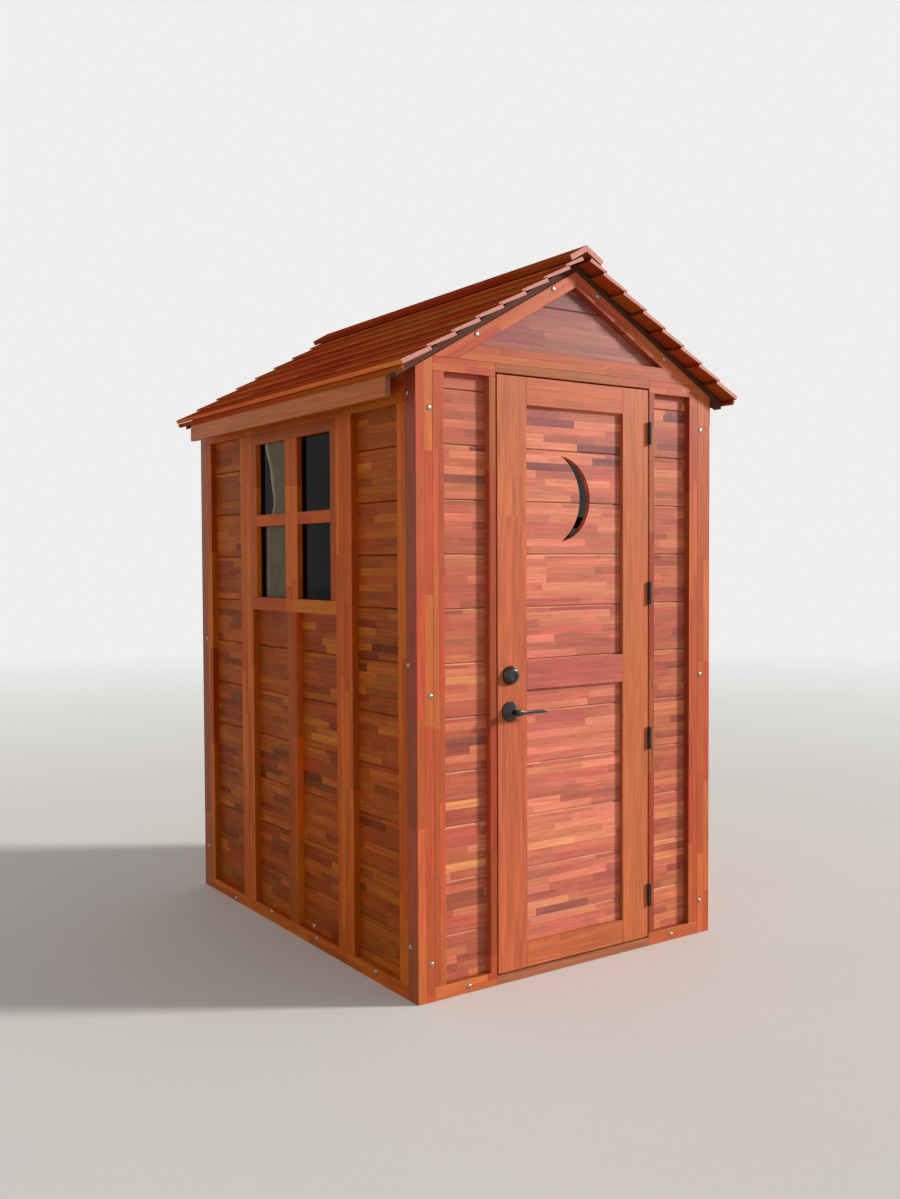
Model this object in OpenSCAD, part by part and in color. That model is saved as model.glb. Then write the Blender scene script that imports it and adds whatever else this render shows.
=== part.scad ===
// Timber storage shed: panelled walls on corner posts, a gabled roof and one hinged door.
// Millimetres, +Z up, door facing -Y, origin on the ground at the centre of the footprint.

/* [Overall size] */
// Width across the front, outside the corner posts
body_w = 1340; // [1070:10:1610]
// Depth from the front face to the rear face
body_d = 1756; // [1460:4:2110]
// Slope of the roof in degrees
roof_pitch = 30; // [20:1:38]

/* [Wall frame] */
// Thickness of the wall frames
frame_t = 45; // [38:1:60]
// Thickness of the siding slabs
siding_t = 20; // [12:1:24]
// Corner post, measured across the front
post_w = 65; // [50:1:90]
// Corner post, measured along the side
post_d = 60; // [50:1:90]
// Height of the bottom and top rails of a wall panel
rail_h = 46; // [36:1:70]
// Height of the top rail along the eaves
eave_rail_h = 108; // [70:1:140]

/* [Front wall] */
// Width of the stile beside each corner post
front_stile_w = 45; // [30:1:70]
// Width of the stile beside the doorway
jamb_w = 26; // [20:1:60]
// Height of the strip over the doorway
header_h = 30; // [24:1:60]
// Height of the sill under the door
sill_h = 30; // [20:1:60]
// Height of the rail at the foot of each gable
gable_rail_h = 52; // [40:1:80]
// Width of the sloping gable trims, square to the slope
rake_w = 48; // [36:1:70]

/* [Side walls] */
// Stile beside a corner post
side_stile_w = 53; // [40:1:80]
// Pair of stiles where two wall panels meet
joint_w = 114; // [80:1:140]
// Clear width of the plain panels at both ends of a side wall
side_bay = 302; // [220:1:380]
// Stud that carries the middle of the window sill
stud_w = 74; // [50:1:100]

/* [Rear wall] */
// Width of the stile pair in the middle
rear_joint_w = 114; // [80:1:140]

/* [Windows] */
// Height of the underside of the window sill
window_z = 1245; // [1000:5:1400]
// Height of the window sill rail
window_sill_h = 51; // [36:1:70]
// Height of the bar over the panes
window_head_h = 43; // [30:1:60]
// Height of the bar between the upper and the lower panes
transom_h = 46; // [30:1:60]
// Width of the post between the two pairs of panes
mullion_w = 102; // [60:1:120]
// Width of the bars at both ends of the window
window_jamb_w = 40; // [30:1:60]
// Thickness of the panes
glass_t = 4; // [3:1:8]

/* [Door] */
// Width of the door leaf
door_w = 692; // [560:2:860]
// Height of the door leaf
door_h = 2024; // [1700:2:2300]
// Gap all round the door leaf
door_gap = 6; // [5:1:8]
// Thickness of the boards that frame the door
door_board_t = 16; // [12:1:22]
// Thickness of the panel behind them
door_panel_t = 22; // [16:1:30]
// Width of the door stiles
door_stile_w = 125; // [90:1:150]
// Height of the top rail of the door
door_top_h = 95; // [70:1:130]
// Height of the middle rail of the door
door_mid_h = 100; // [70:1:130]
// Height of the middle of that rail above the ground
door_mid_z = 1046; // [900:2:1200]
// Height of the bottom rail of the door
door_foot_h = 85; // [70:1:130]
// Height of the centre of the moon cut-out
moon_z = 1653; // [1400:1:1750]
// Radius of the outer edge of the moon
moon_r = 150; // [100:1:180]
// Distance of the middle of that edge's circle from the middle of the door
moon_x = -73; // [-120:1:40]
// Radius of the circle that hollows the moon out
moon_bite_r = 173; // [110:1:220]
// Distance between the middles of the two circles
moon_bite = 71; // [40:1:120]

/* [Door hardware] */
// Height of one hinge
hinge_h = 82; // [60:1:110]
// Distance of the outer hinges from the ends of the leaf
hinge_inset = 158; // [100:2:220]
// Share of the span between them where the inner hinges sit
hinge_share = 0.343; // [0.2:0.001:0.45]
// Radius of the hinge barrels
barrel_r = 6.5; // [5:0.5:9]
// Radius of the hinge pins
pin_r = 3; // [2:0.5:4]
// Height of the lever axis
lever_z = 926; // [850:2:1000]
// Height of the deadbolt above the lever
deadbolt_rise = 123; // [110:1:160]
// Distance of the lever axis from the lock edge of the leaf
backset = 52; // [45:1:70]
// Radius of the round rosettes at the door
rosette_r = 35; // [28:1:42]
// Depth of the lever's conical rosettes
rosette_t = 28; // [10:1:34]
// Radius of the lever's rosettes at their narrow end
rosette_tip_r = 14; // [11:0.5:24]
// Depth of the deadbolt's housing
deadbolt_t = 22; // [14:1:30]
// Radius of the deadbolt's housing at its face
deadbolt_tip_r = 22; // [16:1:30]
// Radius of the lever's neck
neck_r = 9; // [7:0.5:12]
// Reach of the lever grip from its axis
lever_l = 118; // [90:1:140]
// Distance of the lever grip from the face of the door
lever_out = 46; // [35:1:60]

/* [Roof] */
// Overhang of the roof boards beyond the front and the rear face
gable_overhang = 59; // [30:1:100]
// Overhang of the eave beyond the side walls, at the underside
eave_overhang = 77; // [50:1:120]
// Thickness of the roof slabs
roof_t = 26; // [16:1:40]
// Thickness of the rafters
rafter_t = 22; // [16:1:60]
// Width of the rafters
rafter_w = 38; // [30:1:60]
// Setback of the end rafters behind the wall face
rafter_setback = 5; // [0:1:20]
// Half width of the ridge cap
cap_w = 67; // [50:1:110]
// Thickness of the ridge cap
cap_t = 20; // [16:1:40]
// Thickness of the eave fascia
fascia_t = 20; // [15:1:30]
// Height of the outer face of the eave fascia
fascia_h = 80; // [50:1:110]
// Setback of the fascia ends behind the front and rear faces
fascia_setback = 65; // [45:1:120]

/* [Hidden] */
$fn = 48;
wood = "#a9582f";
wood_dark = "#7a3b1f";
wood_roof = "#b4472b";
metal_black = "#1c1a19";
glass_grey = "#39434a";

half_w = body_w / 2;
half_d = body_d / 2;
slope = tan(roof_pitch);
drop = 1 / cos(roof_pitch);
in_w = half_w - post_w;
in_d = half_d - post_d;

// Heights of the front wall, from the ground up
door_z = sill_h + door_gap;
header_z = door_z + door_h + door_gap;
panel_top = header_z + header_h;
gable_z = panel_top + gable_rail_h;

// Heights where the sloping planes cross the middle of the shed
wall_apex = panel_top + in_w * slope;
trim_apex = wall_apex - rake_w * drop;
boards_apex = wall_apex + rafter_t * drop;
roof_apex = boards_apex + roof_t * drop;
cap_apex = roof_apex + cap_t * drop;

// Side walls
eave_rail_z = wall_apex - half_w * slope - eave_rail_h;
window_bay = 2 * in_d - 2 * (side_stile_w + side_bay + joint_w);
pane_w = (window_bay - mullion_w - 2 * window_jamb_w) / 2;
pane_z = window_z + window_sill_h;
head_z = eave_rail_z - window_head_h;
pane_h = (head_z - pane_z - transom_h) / 2;
glass_in = (frame_t - glass_t) / 2;

// Doorway and door leaf
doorway = door_w / 2 + door_gap;
leaf_x = door_w / 2;
leaf_in = leaf_x - door_stile_w;
door_t = door_board_t + door_panel_t;
pin_x = leaf_x + door_gap / 2;
pin_y = -half_d - barrel_r - 1.5;
hinge_leaf_t = 1.5;
hinge_run = 0.6;
barrels = 5;
plate_lip = 1;
plate_depth = 30;
pin_run = 0.1;
hinge_low = door_z + hinge_inset;
hinge_span = door_h - 2 * hinge_inset;
hinge_z = [for (share = [0, hinge_share, 1 - hinge_share, 1]) hinge_low + share * hinge_span];
spindle_r = 6;
spindle_run = 1;
neck_run = 0.1;
grip_r = 9;
grip_t = 11;
turn_h = 36;
turn_w = 10;
turn_reach = 16;
roof_seat = 0.05;
lever_x = -leaf_x + backset;
front_siding_w = in_w - front_stile_w - doorway - jamb_w;

// Roof
eave_x = half_w + eave_overhang;
roof_end = half_d + gable_overhang;
fascia_x = eave_x - 5;

// Box between two corners
module block(a, b) {
    translate(a) cube(b - a);
}

// Outline in X and Z, pulled along Y from one depth to another
module along_y(points, from, to) {
    translate([0, to, 0])
        rotate([90, 0, 0])
            linear_extrude(height = to - from) polygon(points);
}

// Everything given once, and once more mirrored left to right
module both_sides() {
    children();
    mirror([1, 0, 0]) children();
}

// Everything given once, and once more mirrored front to rear
module both_ends() {
    children();
    mirror([0, 1, 0]) children();
}

// Height of a roof plane at a distance from the middle, from its height at the apex
function plane_z(apex, x) = apex - x * slope;

// Band between two roof planes, from the middle to a distance out, on the +X side
module roof_band(low, high, reach, from, to) {
    outer = reach + (high - low) * cos(roof_pitch) * sin(roof_pitch);
    along_y(
        [
            [0, low],
            [reach, plane_z(low, reach)],
            [outer, plane_z(high, outer)],
            [0, high]
        ],
        from,
        to
    );
}

// Timber floor that fills the inside of the walls, notched round the corner posts
module floor_deck() {
    color(wood_dark)
        difference() {
            block(
                [-half_w + frame_t, -half_d + frame_t, 0],
                [half_w - frame_t, half_d - frame_t, sill_h]
            );
            both_sides() both_ends() block([in_w, in_d, -1], [half_w, half_d, sill_h + 1]);
        }
}

// Strip under the door, in line with the front wall
module door_sill() {
    color(wood_dark) block([-doorway, -half_d, 0], [doorway, -half_d + frame_t, sill_h]);
}

// Four posts, cut on top to the slope of the roof
module corner_posts() {
    color(wood)
        both_ends() both_sides()
            along_y(
                [
                    [in_w, 0],
                    [half_w, 0],
                    [half_w, plane_z(wall_apex, half_w)],
                    [in_w, plane_z(wall_apex, in_w)]
                ],
                -half_d,
                -in_d
            );
}

// Upright frame piece in the front wall, on the +X side
module front_upright(from, to) {
    block([from, -half_d, rail_h], [to, -half_d + frame_t, panel_top - rail_h]);
}

// Stiles beside the posts and beside the doorway
module front_stiles() {
    color(wood)
        both_sides() {
            front_upright(in_w - front_stile_w, in_w);
            front_upright(doorway, doorway + jamb_w);
        }
}

// Rails under and over the front siding
module front_rails() {
    color(wood)
        both_sides() {
            block([doorway, -half_d, 0], [in_w, -half_d + frame_t, rail_h]);
            block([doorway, -half_d, panel_top - rail_h], [in_w, -half_d + frame_t, panel_top]);
        }
}

// Strip over the doorway
module door_header() {
    color(wood) block([-doorway, -half_d, header_z], [doorway, -half_d + frame_t, panel_top]);
}

// Siding beside the doorway, set back in its frame
module front_siding() {
    color(wood)
        both_sides()
            block(
                [doorway + jamb_w, -half_d + frame_t - siding_t, rail_h],
                [doorway + jamb_w + front_siding_w, -half_d + frame_t, panel_top - rail_h]
            );
}

// Rail at the foot of each gable, its ends cut to the trims
module gable_rails() {
    low = (trim_apex - panel_top) / slope;
    high = (trim_apex - gable_z) / slope;
    color(wood)
        both_ends()
            along_y(
                [[-low, panel_top], [low, panel_top], [high, gable_z], [-high, gable_z]],
                -half_d,
                -half_d + frame_t
            );
}

// Sloping trims of the front and the rear gable, on the +X side
module rake_trims() {
    low = (trim_apex - panel_top) / slope;
    both_ends()
        along_y(
            [[0, trim_apex], [low, panel_top], [in_w, panel_top], [0, wall_apex]],
            -half_d,
            -half_d + frame_t
        );
}

module rake_trims_left() {
    color(wood) mirror([1, 0, 0]) rake_trims();
}

module rake_trims_right() {
    color(wood) rake_trims();
}

// Siding in both gables
module gable_siding() {
    high = (trim_apex - gable_z) / slope;
    color(wood)
        both_ends()
            along_y(
                [[-high, gable_z], [high, gable_z], [0, trim_apex]],
                -half_d + frame_t - siding_t,
                -half_d + frame_t
            );
}

// Uprights of the rear wall
module rear_stiles() {
    color(wood) {
        both_sides()
            block(
                [in_w - front_stile_w, half_d - frame_t, rail_h],
                [in_w, half_d, panel_top - rail_h]
            );
        block(
            [-rear_joint_w / 2, half_d - frame_t, rail_h],
            [rear_joint_w / 2, half_d, panel_top - rail_h]
        );
    }
}

// Rails under and over the rear siding
module rear_rails() {
    color(wood) {
        block([-in_w, half_d - frame_t, 0], [in_w, half_d, rail_h]);
        block([-in_w, half_d - frame_t, panel_top - rail_h], [in_w, half_d, panel_top]);
    }
}

// Siding of the rear wall
module rear_siding() {
    color(wood)
        both_sides()
            block(
                [rear_joint_w / 2, half_d - frame_t, rail_h],
                [in_w - front_stile_w, half_d - frame_t + siding_t, panel_top - rail_h]
            );
}

// Uprights of the side wall on the +X side
module side_stiles() {
    joint_y = window_bay / 2;
    both_ends() {
        block(
            [half_w - frame_t, -in_d, rail_h],
            [half_w, -in_d + side_stile_w, eave_rail_z]
        );
        block(
            [half_w - frame_t, -joint_y - joint_w, rail_h],
            [half_w, -joint_y, eave_rail_z]
        );
    }
    block([half_w - frame_t, -stud_w / 2, rail_h], [half_w, stud_w / 2, window_z]);
}

module left_stiles() {
    color(wood) mirror([1, 0, 0]) side_stiles();
}

module right_stiles() {
    color(wood) side_stiles();
}

// Bottom rail and sloping top rail of the side wall on the +X side
module side_rails() {
    inner = half_w - frame_t;
    block([inner, -in_d, 0], [half_w, in_d, rail_h]);
    along_y(
        [
            [inner, eave_rail_z],
            [half_w, eave_rail_z],
            [half_w, plane_z(wall_apex, half_w)],
            [inner, plane_z(wall_apex, inner)]
        ],
        -in_d,
        in_d
    );
}

module left_rails() {
    color(wood) mirror([1, 0, 0]) side_rails();
}

module right_rails() {
    color(wood) side_rails();
}

// Siding slab in the side wall on the +X side
module side_slab(from, to, top) {
    block([half_w - frame_t, from, rail_h], [half_w - frame_t + siding_t, to, top]);
}

// Siding of the end panels and under the window
module side_siding() {
    both_ends() {
        side_slab(-in_d + side_stile_w, -in_d + side_stile_w + side_bay, eave_rail_z);
        side_slab(-window_bay / 2, -stud_w / 2, window_z);
    }
}

module left_siding() {
    color(wood) mirror([1, 0, 0]) side_siding();
}

module right_siding() {
    color(wood) side_siding();
}

// Level bars of the window on the +X side
module window_bars() {
    inner = half_w - frame_t;
    mid_z = pane_z + pane_h;
    block([inner, -window_bay / 2, window_z], [half_w, window_bay / 2, pane_z]);
    block([inner, -window_bay / 2, head_z], [half_w, window_bay / 2, eave_rail_z]);
    both_ends()
        block([inner, -mullion_w / 2 - pane_w, mid_z], [half_w, -mullion_w / 2, mid_z + transom_h]);
}

module left_window_bars() {
    color(wood) mirror([1, 0, 0]) window_bars();
}

module right_window_bars() {
    color(wood) window_bars();
}

// Upright bars of the window on the +X side
module window_posts() {
    inner = half_w - frame_t;
    block([inner, -mullion_w / 2, pane_z], [half_w, mullion_w / 2, head_z]);
    both_ends()
        block(
            [inner, -window_bay / 2, pane_z],
            [half_w, -window_bay / 2 + window_jamb_w, head_z]
        );
}

module left_window_posts() {
    color(wood) mirror([1, 0, 0]) window_posts();
}

module right_window_posts() {
    color(wood) window_posts();
}

// Four panes of the window on the +X side
module window_glass() {
    inner = half_w - frame_t + glass_in;
    for (low = [pane_z, pane_z + pane_h + transom_h])
        both_ends()
            block(
                [inner, -mullion_w / 2 - pane_w, low],
                [inner + glass_t, -mullion_w / 2, low + pane_h]
            );
}

module left_glass() {
    color(glass_grey) mirror([1, 0, 0]) window_glass();
}

module right_glass() {
    color(glass_grey) window_glass();
}

// Boards that close both eaves
module eave_fascias() {
    inner = fascia_x - fascia_t;
    top = plane_z(boards_apex, fascia_x);
    color(wood)
        both_sides()
            along_y(
                [
                    [inner, top - fascia_h],
                    [fascia_x, top - fascia_h],
                    [fascia_x, top],
                    [inner, plane_z(boards_apex, inner)]
                ],
                -half_d + fascia_setback,
                half_d - fascia_setback
            );
}

// Rafters on the +X side: one on each gable, two between
module rafters() {
    end = half_d - rafter_setback;
    inner_y = window_bay / 2;
    both_ends() {
        roof_band(wall_apex, boards_apex, eave_x - 8, -end, -end + rafter_w);
        along_y(
            [
                [0, wall_apex],
                [fascia_x - fascia_t, plane_z(wall_apex, fascia_x - fascia_t)],
                [fascia_x - fascia_t, plane_z(boards_apex, fascia_x - fascia_t)],
                [0, boards_apex]
            ],
            -inner_y - rafter_w,
            -inner_y
        );
    }
}

module rafters_left() {
    color(wood_dark) mirror([1, 0, 0]) rafters();
}

module rafters_right() {
    color(wood_dark) rafters();
}

// Slab of lapped roof boards on the +X side, seated on the rafters
module roof_slope() {
    roof_band(boards_apex + roof_seat, roof_apex, eave_x, -roof_end, roof_end);
}

module roof_left() {
    color(wood_roof) mirror([1, 0, 0]) roof_slope();
}

module roof_right() {
    color(wood_roof) roof_slope();
}

// Board that covers the ridge on the +X side
module ridge_cap() {
    roof_band(roof_apex, cap_apex, cap_w, -roof_end, roof_end);
}

module ridge_cap_left() {
    color(wood_roof) mirror([1, 0, 0]) ridge_cap();
}

module ridge_cap_right() {
    color(wood_roof) ridge_cap();
}

// Board on the face of the door, between two corners given in X and Z
module door_board(a, b) {
    block([a.x, -half_d, a.y], [b.x, -half_d + door_board_t, b.y]);
}

// Stile that carries the hinges
module door_hinge_stile() {
    color(wood) door_board([leaf_in, door_z], [leaf_x, door_z + door_h]);
}

// Stile that carries the lock, bored for the spindle of the lever
module door_lock_stile() {
    color(wood)
        difference() {
            door_board([-leaf_x, door_z], [-leaf_in, door_z + door_h]);
            spindle_bore();
        }
}

// Rails between the two door stiles
module door_rails() {
    top = door_z + door_h;
    color(wood) {
        door_board([-leaf_in, door_z], [leaf_in, door_z + door_foot_h]);
        door_board([-leaf_in, door_mid_z - door_mid_h / 2], [leaf_in, door_mid_z + door_mid_h / 2]);
        door_board([-leaf_in, top - door_top_h], [leaf_in, top]);
    }
}

// Outline of the moon, seen from the front
module moon() {
    difference() {
        translate([moon_x, moon_z]) circle(r = moon_r, $fn = 96);
        translate([moon_x - moon_bite, moon_z]) circle(r = moon_bite_r, $fn = 96);
    }
}

// Panel of the door, with the moon cut through it
module door_panel() {
    color(wood)
        difference() {
            block(
                [-leaf_x, -half_d + door_board_t, door_z],
                [leaf_x, -half_d + door_t, door_z + door_h]
            );
            translate([0, -half_d + door_t + 1, 0])
                rotate([90, 0, 0])
                    linear_extrude(height = door_panel_t + 2) moon();
            spindle_bore();
        }
}

// Rod along Y from one depth to another, on a given axis
module rod_y(x, z, r, from, to) {
    translate([x, from, z]) rotate([-90, 0, 0]) cylinder(r = r, h = to - from);
}

// Hole for the spindle through the lock side of the door
module spindle_bore() {
    rod_y(lever_x, lever_z, spindle_r + spindle_run, -half_d - 1, -half_d + door_t + 1);
}

// One barrel segment of a hinge, counted from its foot
module barrel(foot, index) {
    step = (hinge_h + hinge_run) / barrels;
    translate([pin_x, pin_y, foot + index * step])
        cylinder(r = barrel_r, h = step - hinge_run);
}

// Strip that ties one barrel segment to its hinge plate
module barrel_tab(foot, index, from, to) {
    step = (hinge_h + hinge_run) / barrels;
    low = foot + index * step;
    block([from, pin_y, low], [to, -half_d, low + step - hinge_run]);
}

// Hinge half on the door: two barrels bored for the pin, and the plate on the leaf's edge
module door_hinge(foot) {
    difference() {
        union() {
            for (index = [1, 3]) {
                barrel(foot, index);
                barrel_tab(foot, index, leaf_x, leaf_x + hinge_leaf_t);
            }
            block(
                [leaf_x, -half_d - plate_lip, foot],
                [leaf_x + hinge_leaf_t, -half_d + plate_depth, foot + hinge_h]
            );
        }
        translate([pin_x, pin_y, foot - 1]) cylinder(r = pin_r + pin_run, h = hinge_h + 2);
    }
}

// Hinge half on the frame: three barrels, the pin, and the plate on the edge of the jamb
module frame_hinge(foot) {
    for (index = [0, 2, 4]) {
        barrel(foot, index);
        barrel_tab(foot, index, doorway - hinge_leaf_t, doorway);
    }
    translate([pin_x, pin_y, foot]) cylinder(r = pin_r, h = hinge_h);
    block(
        [doorway - hinge_leaf_t, -half_d - plate_lip, foot],
        [doorway, -half_d + plate_depth, foot + hinge_h]
    );
}

module door_hinges() {
    color(metal_black)
        for (z = hinge_z) door_hinge(z - hinge_h / 2);
}

module frame_hinges() {
    color(metal_black)
        for (z = hinge_z) frame_hinge(z - hinge_h / 2);
}

// Cone along Y on a face of the door, given by its depth away from that face
module face_cone(z, r, tip_r, depth, face, way) {
    translate([lever_x, face, z]) rotate([-90 * way, 0, 0]) cylinder(r1 = r, r2 = tip_r, h = depth);
}

// Round deadbolt housing on the face of the door, with its turn on the inside
module deadbolt() {
    z = lever_z + deadbolt_rise;
    inside = -half_d + door_t;
    plate_t = deadbolt_t / 2;
    color(metal_black) {
        face_cone(z, rosette_r, deadbolt_tip_r, deadbolt_t, -half_d, -1);
        face_cone(z, rosette_r, deadbolt_tip_r, plate_t, inside, 1);
        block(
            [lever_x - turn_w / 2, inside + plate_t - 1, z - turn_h / 2],
            [lever_x + turn_w / 2, inside + plate_t + turn_reach, z + turn_h / 2]
        );
    }
}

// Conical rosettes on both faces of the door that the lever turns in
module lock_rosettes() {
    inside = -half_d + door_t;
    color(metal_black)
        difference() {
            union() {
                face_cone(lever_z, rosette_r, rosette_tip_r, rosette_t, -half_d, -1);
                face_cone(lever_z, rosette_r, rosette_tip_r, rosette_t, inside, 1);
            }
            rod_y(
                lever_x,
                lever_z,
                neck_r + neck_run,
                -half_d - rosette_t - 1,
                inside + rosette_t + 1
            );
        }
}

// Grip of the lever, from its axis toward the hinges, standing on a given depth
module grip(from, to) {
    block([lever_x, from, lever_z - grip_r], [lever_x + lever_l - grip_r, to, lever_z + grip_r]);
    rod_y(lever_x + lever_l - grip_r, lever_z, grip_r, from, to);
    rod_y(lever_x, lever_z, grip_r + 3, from, to);
}

// Lever on both faces of the door, joined by its spindle
module lever() {
    inside = -half_d + door_t;
    color(metal_black) {
        rod_y(lever_x, lever_z, neck_r, -half_d - lever_out, -half_d - 1);
        rod_y(lever_x, lever_z, spindle_r, -half_d - 2, inside + 2);
        rod_y(lever_x, lever_z, neck_r, inside + 1, inside + lever_out);
        grip(-half_d - lever_out - grip_t, -half_d - lever_out);
        grip(inside + lever_out, inside + lever_out + grip_t);
    }
}

floor_deck();
door_sill();
corner_posts();
front_stiles();
front_rails();
door_header();
front_siding();
gable_rails();
rake_trims_left();
rake_trims_right();
gable_siding();
rear_stiles();
rear_rails();
rear_siding();
left_stiles();
right_stiles();
left_rails();
right_rails();
left_siding();
right_siding();
left_window_bars();
right_window_bars();
left_window_posts();
right_window_posts();
left_glass();
right_glass();
eave_fascias();
rafters_left();
rafters_right();
roof_left();
roof_right();
ridge_cap_left();
ridge_cap_right();
door_hinge_stile();
door_lock_stile();
door_rails();
door_panel();
door_hinges();
frame_hinges();
deadbolt();
lock_rosettes();
lever();
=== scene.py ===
import math
import random

import bmesh
import bpy
from mathutils import Matrix, Vector


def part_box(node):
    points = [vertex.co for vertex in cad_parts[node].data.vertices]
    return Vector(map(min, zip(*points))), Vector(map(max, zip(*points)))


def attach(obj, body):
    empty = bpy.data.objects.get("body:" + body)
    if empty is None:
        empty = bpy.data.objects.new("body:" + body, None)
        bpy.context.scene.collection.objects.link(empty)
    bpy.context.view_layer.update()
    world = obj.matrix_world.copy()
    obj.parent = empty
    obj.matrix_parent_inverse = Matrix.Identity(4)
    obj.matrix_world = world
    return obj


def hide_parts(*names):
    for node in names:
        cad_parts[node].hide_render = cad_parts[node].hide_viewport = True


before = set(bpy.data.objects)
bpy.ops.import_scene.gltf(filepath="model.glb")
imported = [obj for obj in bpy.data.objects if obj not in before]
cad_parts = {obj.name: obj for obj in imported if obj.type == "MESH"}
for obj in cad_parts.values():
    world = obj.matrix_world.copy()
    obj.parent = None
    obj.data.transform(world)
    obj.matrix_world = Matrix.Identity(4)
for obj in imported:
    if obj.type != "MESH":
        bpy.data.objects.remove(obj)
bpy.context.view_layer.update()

rng = random.Random(41)
X, Y, Z = Vector((1, 0, 0)), Vector((0, 1, 0)), Vector((0, 0, 1))

# ---------------------------------------------------------------- sizes

SIDING_T = 0.020  # siding, fascias and the boards of the gables
COURSE, FIRST_SEAM = 0.180, 0.020  # siding boards
JOINT_W, STUD = 0.114, 0.037  # two stiles side by side, half a stud
JAMB = 0.026  # uprights beside the door
SIDE_STILE = 0.053  # end stiles of the side walls
WINDOW_JAMB, WINDOW_MID, HALF_BAR = 0.040, 0.051, 0.023
SLIT, WINDOW_SLIT = 0.0003, 0.0004  # half of the line between two timbers
GAP = 0.0001  # between a door timber and the boards behind
BATTEN_T = 0.038
STRIP = 0.027  # strips that the siding is glued up from

half_w, half_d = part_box("corner_posts")[1].x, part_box("corner_posts")[1].y
in_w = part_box("front_stiles")[1].x
in_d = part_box("left_stiles")[1].y
rail_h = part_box("front_stiles")[0].z
panel_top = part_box("front_rails")[1].z
wall_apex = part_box("rake_trims_right")[1].z
slope = (wall_apex - panel_top) / in_w
pitch = math.atan(slope)
drop = 1 / math.cos(pitch)
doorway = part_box("door_header")[1].x
header_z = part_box("door_header")[0].z
gable_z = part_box("gable_rails")[1].z
trim_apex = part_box("gable_siding")[1].z
frame_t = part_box("door_header")[1].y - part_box("door_header")[0].y
siding_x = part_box("front_siding")[1].x
siding_face = -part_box("front_siding")[0].y
siding_back = siding_face - SIDING_T
eave_rail_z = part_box("left_stiles")[1].z
window_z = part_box("left_window_bars")[0].z
window_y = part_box("left_window_bars")[1].y
pane_z, head_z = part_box("left_window_posts")[0].z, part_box("left_window_posts")[1].z
bar_z = (pane_z + head_z) / 2
glass_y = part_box("left_glass")[1].y
glass_out = -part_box("left_glass")[0].x
inner_x = half_w - frame_t
joint_y = window_y + JOINT_W / 2
side_bay_end = in_d - SIDE_STILE
leaf_low, leaf_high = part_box("door_panel")
leaf_x = leaf_high.x
leaf_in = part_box("door_rails")[1].x
leaf_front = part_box("door_rails")[0].y
panel_front, leaf_back = leaf_low.y, leaf_high.y
door_z, door_top = leaf_low.z, leaf_high.z
roof_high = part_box("roof_right")[1]
roof_end, roof_apex = roof_high.y, roof_high.z
boards_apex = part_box("rafters_right")[1].z
cap_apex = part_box("ridge_cap_right")[1].z
roof_t = (roof_apex - boards_apex) / drop
fascia_low, fascia_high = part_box("eave_fascias")
fascia_in = fascia_high.x - SIDING_T
rafter_out, rafter_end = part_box("rafters_right")[1].x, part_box("rafters_right")[1].y
lever_low, lever_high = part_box("lever")
lock_low, lock_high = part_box("lock_rosettes")
bolt_low, bolt_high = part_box("deadbolt")
lock_x = (lock_low.x + lock_high.x) / 2
lever_z = (lock_low.z + lock_high.z) / 2
deadbolt_z = (bolt_low.z + bolt_high.z) / 2

# ---------------------------------------------------------------- materials


def lin(r, g, b):
    """Linear colour of an sRGB one, 0 to 255."""
    out = []
    for c in (r / 255, g / 255, b / 255):
        out.append(((c + 0.055) / 1.055) ** 2.4 if c > 0.04045 else c / 12.92)
    return (*out, 1.0)


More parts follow.
